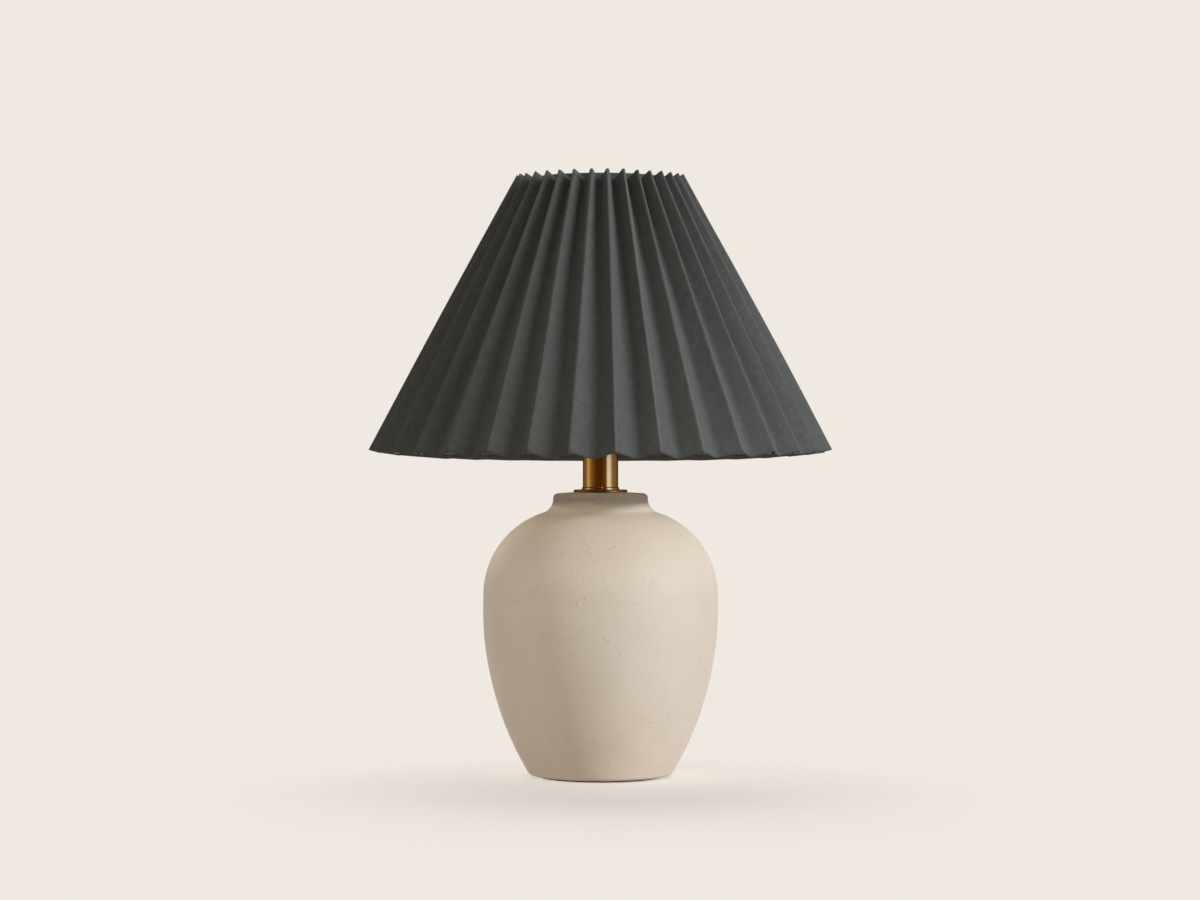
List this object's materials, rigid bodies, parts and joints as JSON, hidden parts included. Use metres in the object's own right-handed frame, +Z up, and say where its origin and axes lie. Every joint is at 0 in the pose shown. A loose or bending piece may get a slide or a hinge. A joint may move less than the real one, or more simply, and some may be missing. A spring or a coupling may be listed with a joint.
{
  "type": "ginger jar table lamp",
  "caption": "Table lamp with a matte ceramic ginger jar base, a brass neck, a harp and a pleated cone shade that lifts off.",
  "frame": {"origin": "on the table, under the middle of the jar's foot, where the lamp's upright axis meets the felt", "axes": "+Z up along the lamp's axis; -Y is the front, where the switch knob points; +Y is the back, where the cord outlet is; +X to the right as seen from the front"},
  "size_m": [0.3493, 0.3495, 0.4569],
  "materials": {
    "felt": "matte felt",
    "ceramic": "matte, faintly speckled",
    "black_plastic": "satin",
    "white_plastic": "satin",
    "zinc": "zinc plated",
    "nickel": "nickel plated",
    "dark_bronze": "darkened, satin",
    "neck_brass": "polished, aged",
    "harp_brass": "satin",
    "socket_brass": "satin",
    "contact_brass": "plain",
    "card": "matte",
    "bulb_glass": "frosted white",
    "shade_cloth": "matte woven cloth",
    "shade_binding": "matte woven tape",
    "frame_paint": "satin black"
  },
  "bodies": {
    "root": {"base_felt": "felt", "ceramic_jar": "ceramic", "cord_grommet": "black_plastic", "base_washer": "zinc", "lock_washer": "zinc", "rod_nut": "zinc", "rod_bushing": "white_plastic", "lamp_rod": "zinc", "neck_seat": "dark_bronze", "neck_tube": "neck_brass", "neck_base_ring": "neck_brass", "neck_cap": "neck_brass", "harp_saddle": "harp_brass", "socket_cap": "socket_brass", "socket_shell": "socket_brass", "insulating_sleeve": "card", "socket_core": "black_plastic", "screw_shell": "nickel", "centre_contact": "contact_brass", "harp": "harp_brass"},
    "swivel": {"harp_swivel_stud": "harp_brass"},
    "shade": {"shade_pleats": "shade_cloth", "shade_top_band": "shade_binding", "shade_top_ring": "frame_paint", "shade_hem_ring": "frame_paint", "shade_struts": "frame_paint", "spider_hub": "frame_paint", "spider_arms": "frame_paint"},
    "finial": {"finial": "harp_brass"},
    "bulb": {"bulb_tip": "nickel", "bulb_insulator": "black_plastic", "bulb_base": "nickel", "bulb_collar": "white_plastic", "bulb_globe": "bulb_glass"},
    "switch": {"switch_shaft": "socket_brass", "turn_knob": "black_plastic"},
    "left_ferrule": {"ferrule_left": "harp_brass"},
    "right_ferrule": {"ferrule_right": "harp_brass"}
  },
  "joints": [
    {"name": "shade_swivel", "type": "hinge", "parent": "root", "child": "swivel", "pos_m": [0, 0, 0.4337], "axis": [0, 0, 1], "continuous": true},
    {"name": "shade_lift", "type": "slide", "parent": "swivel", "child": "shade", "axis": [0, 0, 1], "range_m": [0, 0.2]},
    {"name": "finial_unscrew", "type": "slide", "parent": "shade", "child": "finial", "axis": [0, 0, 1], "range_m": [0, 0.03]},
    {"name": "bulb_unscrew", "type": "slide", "parent": "root", "child": "bulb", "axis": [0, 0, 1], "range_m": [0, 0.022]},
    {"name": "switch_turn", "type": "hinge", "parent": "root", "child": "switch", "pos_m": [0, -0.02, 0.286], "axis": [0, -1, 0], "continuous": true},
    {"name": "left_ferrule_slide", "type": "slide", "parent": "root", "child": "left_ferrule", "axis": [0, 0, 1], "range_m": [0, 0.012]},
    {"name": "right_ferrule_slide", "type": "slide", "parent": "root", "child": "right_ferrule", "axis": [0, 0, 1], "range_m": [0, 0.012]}
  ]
}
